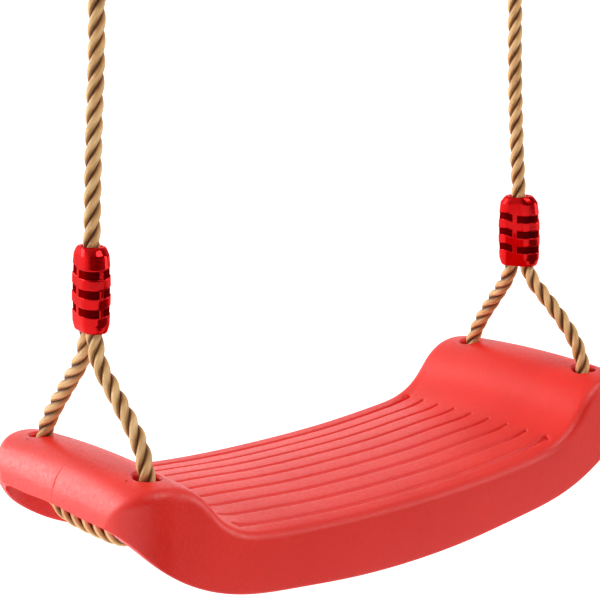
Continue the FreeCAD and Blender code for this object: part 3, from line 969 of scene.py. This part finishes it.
def smooth_curve(points, samples=1601):
    """A natural cubic spline through points, by chord length, as a dense row of points."""
    points = np.array(points, float)
    at = np.r_[0, np.cumsum(np.linalg.norm(np.diff(points, axis=0), axis=1))]
    step = np.diff(at)
    count = len(at)
    matrix, right = np.eye(count), np.zeros((count, 2))
    for k in range(1, count - 1):
        matrix[k, k - 1:k + 2] = step[k - 1], 2 * (step[k - 1] + step[k]), step[k]
        right[k] = 6 * ((points[k + 1] - points[k]) / step[k] - (points[k] - points[k - 1]) / step[k - 1])
    bend = np.linalg.solve(matrix, right)
    u = np.linspace(0, at[-1], samples)
    k = np.clip(np.searchsorted(at, u) - 1, 0, count - 2)
    h, a, b = step[k][:, None], (at[k + 1] - u)[:, None], (u - at[k])[:, None]
    return (bend[k] * a ** 3 + bend[k + 1] * b ** 3) / (6 * h) + (
        points[k] / h - bend[k] * h / 6) * a + (points[k + 1] / h - bend[k + 1] * h / 6) * b


def mirrored(outline):
    return [(-x, z) for x, z in reversed(outline[1:])] + list(outline)


def upward_normals(line):
    along = unit(np.gradient(line, axis=0))
    return np.stack([-along[:, 1], along[:, 0]], 1)


TOP = smooth_curve(mirrored([(x, z) for x, z, _ in TOP_OUTLINE]))
TOP_NORMALS = upward_normals(TOP)
BOTTOM = smooth_curve(mirrored(BOTTOM_OUTLINE))
CROWNS = smooth_curve(mirrored([(x, rise) for x, _, rise in TOP_OUTLINE]))


def spread(line, spacing, count=None):
    """Points along a line, closer together where spacing(x) is small."""
    steps = np.linalg.norm(np.diff(line, axis=0), axis=1)
    middle = (line[1:, 0] + line[:-1, 0]) / 2
    filled = np.r_[0, np.cumsum(steps / np.array([spacing(abs(x)) for x in middle]))]
    if count is None:
        count = int(math.ceil(filled[-1])) + 1
    at = np.linspace(0, filled[-1], count)
    return np.stack([np.interp(at, filled, line[:, k]) for k in range(2)], 1)


def column_spacing(x):
    places = (0, 108, 118, 131, 134, 140, 145, 176, 207, 221)
    return float(np.interp(x, places, (4, 3.0, 1.4, 1.0, 0.6, 0.6, 1.6, 1.6, 1.3, 0.9)))


def crown(x, y):
    """How much the seat's top stands above its front edge; the tread's back edge stays higher."""
    back = np.interp(np.abs(x), (0, 140, 170, 221), (BACK_EDGE, BACK_EDGE, 0.4 * BACK_EDGE, 0))
    share = np.maximum(1 - (y / HALF_WIDTH) ** 2, np.where(y > 0, back, 0))
    return np.interp(x, CROWNS[:, 0], CROWNS[:, 1]) * share


def plan_half_width(x, inset=0.0, extra=0.5):
    """Half width of the rounded rectangle at a distance from the middle."""
    corner = CORNER - inset
    middle = HALF_LENGTH + extra - CORNER
    past = np.clip(np.abs(x) - middle, 0, corner)
    return HALF_WIDTH - CORNER + np.sqrt(np.maximum(corner ** 2 - past ** 2, 0))


def plan_distance(x, y, inset=0.0, extra=0.5):
    """Signed distance from the rounded rectangle, negative inside, and its outward direction."""
    corner = CORNER - inset
    qx = np.abs(x) - (HALF_LENGTH + extra - CORNER)
    qy = np.abs(y) - (HALF_WIDTH - CORNER)
    ox, oy = np.maximum(qx, 0), np.maximum(qy, 0)
    out = np.hypot(ox, oy)
    distance = out + np.minimum(np.maximum(qx, qy), 0) - corner
    safe = np.maximum(out, 1e-9)
    flat_x = (qx > qy).astype(float)
    gx = np.where(out > 1e-6, ox / safe, flat_x) * np.sign(x)
    gy = np.where(out > 1e-6, oy / safe, 1 - flat_x) * np.sign(y)
    return distance, gx, gy


def nearest(x, z, line, normals):
    """Signed distance above a line, and the line's normal there."""
    distance, nx, nz = np.zeros(len(x)), np.zeros(len(x)), np.zeros(len(x))
    for start in range(0, len(x), 4000):
        part = slice(start, start + 4000)
        gap = (x[part, None] - line[None, :, 0]) ** 2 + (z[part, None] - line[None, :, 1]) ** 2
        k = np.argmin(gap, axis=1)
        nx[part], nz[part] = normals[k, 0], normals[k, 1]
        distance[part] = (x[part] - line[k, 0]) * nx[part] + (z[part] - line[k, 1]) * nz[part]
    return distance, nx, nz


def edge_round(x):
    """Radius of the edge between the seat's top and its skirt: larger on the crests."""
    return np.interp(np.abs(x), (0, 120, 150, 175, 221), (4.2, 4.5, 5.5, 6.5, 7.0))


def settle(points, line, normals, inset, extra, radius):
    """Moves points onto the rounded meeting of the top and the skirt."""
    p = np.array(points, float)
    for _ in range(4):
        above, nx, nz = nearest(p[:, 0], p[:, 2], line, normals)
        out, gx, gy = plan_distance(p[:, 0], p[:, 1], inset, extra)
        r = radius(p[:, 0]) * (1 - np.clip(nx * gx, 0, 1))
        ua, ub = np.maximum(above + r, 0), np.maximum(out + r, 0)
        length = np.hypot(ua, ub)
        value = np.minimum(np.maximum(above, out), -r) + length
        wa = np.where(length > 1e-9, ua / np.maximum(length, 1e-9), 0)
        wb = np.where(length > 1e-9, ub / np.maximum(length, 1e-9), 0)
        grad = np.stack([wa * nx + wb * gx, wb * gy, wa * nz], 1)
        size = np.maximum((grad ** 2).sum(1), 0.25)
        p -= grad * (value / size)[:, None]
    return p


def groove_depth(x, y):
    """Depth of the tread: long grooves with rounded lips, wider and deeper where they end."""
    depth = np.zeros(len(x))
    for n in range(GROOVES):
        row = n - (GROOVES - 1) / 2
        half = GROOVE_HALF_LENGTH + GROOVE_END_BOW * (row / 4) ** 2
        flare = np.clip(1 - (half - np.abs(x)) / GROOVE_FLARE, 0, 1) ** 2 * (row / 4) ** 4
        width = GROOVE_HALF_WIDTH + 1.2 * flare
        past = np.maximum(np.abs(x) - (half - 1.95), 0)
        inward = width - np.hypot(past, y - row * GROOVE_PITCH)
        cut = np.interp(inward, GROOVE_PLACES, GROOVE_DEPTHS)
        depth = np.maximum(depth, cut * (1 + 0.9 * flare))
    tread = np.clip((GROOVE_HALF_LENGTH - np.abs(x)) / 6, 0, 1)
    tread = tread * np.clip(((GROOVES - 1) / 2 * GROOVE_PITCH - np.abs(y)) / 2 + 0.5, 0, 1)
    phase = (np.abs(y) / GROOVE_PITCH) % 1.0
    return depth + tread * LAND_DISH * (2 * np.abs(phase - 0.5)) ** 4


def dress(p, line, normals):
    """Adds the crown, the rolled borders and the tread to points on the settled outer skin."""
    above, nx, nz = nearest(p[:, 0], p[:, 2], line, normals)
    out, _, _ = plan_distance(p[:, 0], p[:, 1])
    fade = np.clip(1 + above / SKIRT_FADE, 0, 1)
    roll = FRONT_ROLL * np.clip(1 + np.minimum(out, 0) / FRONT_ROLL_WIDTH, 0, 1) ** 1.5
    roll = roll * (p[:, 1] < 0) * np.clip(nz, 0, 1) * fade
    drop = roll + np.where(above > -0.5, groove_depth(p[:, 0], p[:, 1]), 0)
    moved = p.copy()
    moved[:, 0] -= nx * drop
    moved[:, 2] += crown(p[:, 0], p[:, 1]) * fade - nz * drop
    return moved


def raise_ends(sheet):
    """Lifts the lower edges of the end walls to their arch."""
    x, y, z = np.abs(sheet[..., 0]), sheet[..., 1], sheet[..., 2]
    foot = np.interp(x, BOTTOM[:, 0], BOTTOM[:, 1])
    arch = END_ARCH_TOP - y ** 2 / (2 * END_ARCH_RADIUS)
    low = (x > HALF_LENGTH - 5) & (arch > foot) & (z < END_WALL_TOP)
    squeeze = (arch - END_WALL_TOP) / np.minimum(foot - END_WALL_TOP, -1)
    lifted = END_WALL_TOP + (z - END_WALL_TOP) * squeeze
    sheet[..., 2] = np.where(low, lifted, z)
    return sheet


def outer_rows():
    """Y of the outer skin's rows, from the front to the back."""
    edge = [0, 0.6, 1.4, 2.4, 3.6, 5, 6.6, 8.4]
    rows = [HALF_WIDTH - b for b in edge]
    for n in range(GROOVES):
        y = (n - (GROOVES - 1) / 2) * GROOVE_PITCH
        rows += [y + d for d in (-2.1, -1.7, -1.45, -1.2, -0.9, -0.55, 0, 0.55, 0.9, 1.2, 1.45, 1.7, 2.1)]
        if n < GROOVES - 1:
            rows += [y + d for d in (3.4, 5.2, 7.0, GROOVE_PITCH / 2, 10.1, 11.9, 13.7)]
    return sorted(rows + [-HALF_WIDTH + b for b in edge])


def inner_rows():
    half = HALF_WIDTH - WALL
    edge = [0, 0.5, 1.2, 2.2, 3.5]
    middle = list(np.linspace(-half + 6, half - 6, 44))
    return sorted([half - b for b in edge] + middle + [-half + b for b in edge])


def skin(columns, rows, inset, extra):
    """A grid over the top and down both skirts, not yet rounded, and how many rows a skirt has."""
    grid = []
    for x, z in columns:
        half = float(plan_half_width(x, inset, extra))
        foot = float(np.interp(x, BOTTOM[:, 0], BOTTOM[:, 1]))
        height = max(z - foot, 0.0)
        scale = min(1.0, height / 26)
        low = [d * scale for d in (0, 0.25, 0.7, 1.6)]
        high = [height - d * scale for d in (11, 8.4, 6.6, 5, 3.6, 2.4, 1.4, 0.6)]
        steps = low + list(np.linspace(low[-1], high[0], 7)[1:-1]) + high
        front = [(x, -half, foot + h) for h in steps]
        top = [(x, y / rows[-1] * half, z) for y in rows]
        back = [(x, half, foot + h) for h in reversed(steps)]
        grid.append(front + top + back)
    return np.array(grid), len(steps)


def ring_patch(centre, rings, height_at):
    """Rings of points round a hole: each is (radius, height) or (radius, drop, radius of the surface)."""
    patch = []
    angles = 2 * math.pi * np.arange(RING_SIDES) / RING_SIDES

    def circle(radius):
        return centre[0] + radius * np.cos(angles), centre[1] + radius * np.sin(angles)

    for radius, level, *where in rings:
        z = height_at(*circle(where[0])) - level if where else np.full(RING_SIDES, level)
        patch.append(np.stack([*circle(radius), z], 1))
    return patch


def bore_rings():
    """Rings down a rope hole: its rounded lip, the bore, and the boss's lower rim."""
    lip_radius = HOLE_RADIUS + HOLE_LIP
    rings = [(lip_radius + 0.9, 0.0, lip_radius + 0.9), (lip_radius, 0.02, lip_radius)]
    for angle in (20, 40, 60, 80):
        a = math.radians(angle)
        rings.append((HOLE_RADIUS + HOLE_LIP * (1 - math.sin(a)), HOLE_LIP * (1 - math.cos(a)), lip_radius))
    return rings + [(HOLE_RADIUS, HOLE_LIP + 0.6, lip_radius), (HOLE_RADIUS, -12.0),
                    (HOLE_RADIUS, BOSS_BOTTOM + 0.7), (HOLE_RADIUS + 0.2, BOSS_BOTTOM + 0.2),
                    (HOLE_RADIUS + 0.7, BOSS_BOTTOM), (BOSS_RADIUS - 0.6, BOSS_BOTTOM),
                    (BOSS_RADIUS - 0.1, BOSS_BOTTOM + 0.3), (BOSS_RADIUS, BOSS_BOTTOM + 0.8)]


def boss_rings():
    """Rings where a boss meets the seat's inner skin, with a small fillet."""
    return [(BOSS_RADIUS, 2.4, BOSS_RADIUS), (BOSS_RADIUS + 0.2, 0.9, BOSS_RADIUS),
            (BOSS_RADIUS + 1.0, 0.1, BOSS_RADIUS + 1.0), (BOSS_RADIUS + 1.8, 0.0, BOSS_RADIUS + 1.8)]


def open_hole(points, faces, centre, radius):
    """Takes away the faces round a hole and gives the rim's point numbers by their angle."""
    near = np.hypot(points[:, 0] - centre[0], points[:, 1] - centre[1]) < radius
    gone = near & (points[:, 2] > NOSE_HEIGHT)
    kept, edges = [], set()
    for face in faces:
        if any(gone[v] for v in face):
            edges.update(zip(face, face[1:] + face[:1]))
        else:
            kept.append(face)
    rim = {a for a, b in edges if (b, a) not in edges}
    angle = np.arctan2(points[:, 1] - centre[1], points[:, 0] - centre[0]) % (2 * math.pi)
    rim = sorted(rim, key=lambda v: angle[v])
    return kept, rim, angle[rim]


def around(rim, angles, ring, flip):
    """Triangles between a hole's rim and its first ring, both by rising angle."""
    first = list(rim) + [rim[0]]
    at_first = list(angles) + [angles[0] + 2 * math.pi]
    second = [ring + n for n in range(RING_SIDES)] + [ring]
    at_second = [2 * math.pi * n / RING_SIDES for n in range(RING_SIDES + 1)]
    faces = stitch(first, second, at_first, at_second)
    return [f[::-1] for f in faces] if flip else faces


def inner_line():
    """The inner skin's line under the top's, closed down to the ends' lower edges."""
    line = TOP - TOP_NORMALS * WALL
    end_x = HALF_LENGTH - WALL
    end_z = float(np.interp(end_x, BOTTOM[:, 0], BOTTOM[:, 1]))
    return np.concatenate([[(-end_x, end_z)], line, [(end_x, end_z)]])


def outer_skin():
    grid, skirt = skin(spread(TOP, column_spacing), outer_rows(), 0.0, 0.5)
    flat = settle(grid.reshape(-1, 3), TOP, TOP_NORMALS, 0.0, 0.5, edge_round)
    return raise_ends(dress(flat, TOP, TOP_NORMALS).reshape(grid.shape)), skirt


def inner_skin(line, columns):
    """The skin inside, one wall below the outer one, crowned with it."""
    grid, _ = skin(spread(line, column_spacing, columns), inner_rows(), WALL, 0.0)
    flat = settle(grid.reshape(-1, 3), line, upward_normals(line), WALL, 0.0, lambda x: np.full(len(x), 2.5))
    below = flat[:, 2] - np.interp(flat[:, 0], line[:, 0], line[:, 1])
    flat[:, 2] += crown(flat[:, 0], flat[:, 1]) * np.clip(1 + below / 20, 0, 1)
    return raise_ends(flat.reshape(grid.shape))


def round_skirt(sheet, skirt, sign):
    """Rounds the long lower edges by moving their last three rows sideways."""
    for k, inset in enumerate((0.75, 0.32, 0.08)):
        sheet[:, k, 1] += sign * inset * np.clip((sheet[:, skirt, 2] - sheet[:, 0, 2]) / 10, 0, 1)
        sheet[:, -1 - k, 1] -= sign * inset * np.clip((sheet[:, -1 - skirt, 2] - sheet[:, -1, 2]) / 10, 0, 1)


def lower_rims(number, inside, outer, inner):
    """Faces that close the wall along the skirts' and the ends' lower edges."""
    faces = grid_faces([number[:, 0].tolist(), inside[:, 0].tolist()], True)
    faces += grid_faces([number[:, -1].tolist(), inside[:, -1].tolist()])
    for n, flip in ((0, False), (-1, True)):
        rim = stitch(number[n].tolist(), inside[n].tolist(), measure(outer[n]), measure(inner[n]))
        faces += [f[::-1] for f in rim] if flip else rim
    return faces


def seat_shell():
    """Points and faces of the moulding: two skins, their rims, and the four holes with their bosses."""
    outer, skirt = outer_skin()
    line = inner_line()
    inner = inner_skin(line, len(outer))
    round_skirt(outer, skirt, 1)
    round_skirt(inner, skirt, -1)
    number = np.arange(outer.shape[0] * outer.shape[1]).reshape(outer.shape[:2])
    inside = np.arange(inner.shape[0] * inner.shape[1]).reshape(inner.shape[:2]) + number.size
    outer_faces = grid_faces(number.tolist(), True)
    inner_faces = grid_faces(inside.tolist())
    faces = lower_rims(number, inside, outer, inner)
    points = [outer.reshape(-1, 3), inner.reshape(-1, 3)]
    skins = np.concatenate(points)
    only_inner = skins.copy()
    only_inner[:number.size, 0] = 1e6
    total = len(skins)

    def top_height(x, y):
        z = np.interp(x, TOP[:, 0], TOP[:, 1])
        return dress(np.stack([x, y, z], 1), TOP, TOP_NORMALS)[:, 2]

    def roof_height(x, y):
        return np.interp(x, line[1:-1, 0], line[1:-1, 1]) + crown(x, y)

    for centre in HOLES:
        reach = HOLE_RADIUS + HOLE_LIP + 2.2
        outer_faces, rim, angles = open_hole(skins[:number.size], outer_faces, centre, reach)
        faces += around(rim, angles, total, False)
        rings = ring_patch(centre, bore_rings(), top_height) + ring_patch(centre, boss_rings(), roof_height)
        faces += tube_faces(total, len(rings), RING_SIDES)
        points += rings
        total += RING_SIDES * len(rings)
        inner_faces, rim, angles = open_hole(only_inner, inner_faces, centre, BOSS_RADIUS + 3.4)
        faces += around(rim, angles, total - RING_SIDES, True)
    return np.concatenate(points), faces + outer_faces + inner_faces


def rib_prism(path, half, across):
    """A rib as a closed prism: path gives (place, top, bottom) along it."""
    vertices, faces = [], []
    for spot, top, bottom in path:
        near = [(-half, top), (-half, bottom + 0.9), (-half + 0.25, bottom + 0.25), (-half + 0.9, bottom)]
        for off, z in near + [(-off, z) for off, z in reversed(near)]:
            vertices.append(across(spot, off, z))
    loop = 8
    for k in range(len(path) - 1):
        for n in range(loop):
            m = (n + 1) % loop
            faces.append((k * loop + n, k * loop + m, (k + 1) * loop + m, (k + 1) * loop + n))
    faces.append(tuple(range(loop)))
    faces.append(tuple(range(len(vertices) - 1, len(vertices) - 1 - loop, -1)))
    return vertices, faces


def seat_ribs():
    """The lattice of ribs under the seat's upper wall."""
    roof = TOP - TOP_NORMALS * (WALL - 1.2)
    edge = TOP - TOP_NORMALS * (WALL + RIB_DEPTH)
    middle = np.abs(TOP[:, 0]) < 176
    roof, edge = roof[middle], edge[middle]

    def span(x, y):
        side = max(0.0, abs(y) - (HALF_WIDTH - WALL - 1.5)) * min(1.0, max(0.0, abs(x) - 120) / 30)
        lift = float(crown(x, y))
        return (float(np.interp(x, roof[:, 0], roof[:, 1])) + lift - 1.5 * side,
                float(np.interp(x, edge[:, 0], edge[:, 1])) + lift)

    parts = []
    reach = 4 * RIB_PITCH
    for y in LONG_RIBS:
        path = [(x, *span(x, y)) for x in np.linspace(-reach, reach, 81)]
        parts.append(rib_prism(path, RIB / 2, lambda x, off, z, y=y: (x, y + off, z)))
    inner_half = HALF_WIDTH - WALL
    ends = (inner_half - 1.5, inner_half + 0.4)
    across = [-ends[1], -ends[0], *np.linspace(-66, 66, 13), *ends]
    for n in range(-4, 5):
        x = n * RIB_PITCH

        def spot(y, off, z, x=x):
            top, bottom = span(x, y)
            slant = span(x + off, y)[0] - top
            return x + off, y, z + slant * (z - bottom) / (top - bottom)

        parts.append(rib_prism([(y, *span(x, y)) for y in across], RIB / 2, spot))
    return parts


def seat(mat):
    vertices, faces = seat_shell()
    vertices = [tuple(v) for v in vertices]
    for rib_points, rib_faces in seat_ribs():
        start = len(vertices)
        vertices += [tuple(v) for v in rib_points]
        faces += [tuple(v + start for v in face) for face in rib_faces]
    placed = [place(x * MM, y * MM, z * MM) for x, y, z in vertices]
    obj = mesh_object("seat_moulding", placed, faces, mat)
    weld(obj, 2e-6)
    obj.data.set_sharp_from_angle(angle=math.radians(48))
    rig.ride(obj, "seat")
    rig.replaces(obj, "seat")
    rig.slot(obj, "seat_plastic")
    return obj


# ------------ the whole

def build():
    camera()
    studio()
    rope_mat = rope_material()
    plastic = adjuster_material()
    zinc, pressed, black = ring_material(), ferrule_material(), thimble_material()
    for side in (LEFT, RIGHT):
        name = side["name"]
        made = ropes(side, rope_mat)
        sleeve = ferrule(side, pressed)
        adjuster_half(side, True, plastic)
        adjuster_half(side, False, plastic)
        eye_ring = finish_node(name + "_hanging_ring", zinc)
        thimble = finish_node(name + "_thimble", black)
        declare_ropes(made, [sleeve, thimble, eye_ring])
    seat(seat_material())


build()
low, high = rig.bounds()
with open("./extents.json", "w") as f:
    json.dump({"cad": [list(cad_low), list(cad_high)], "visual": [list(low), list(high)]}, f)
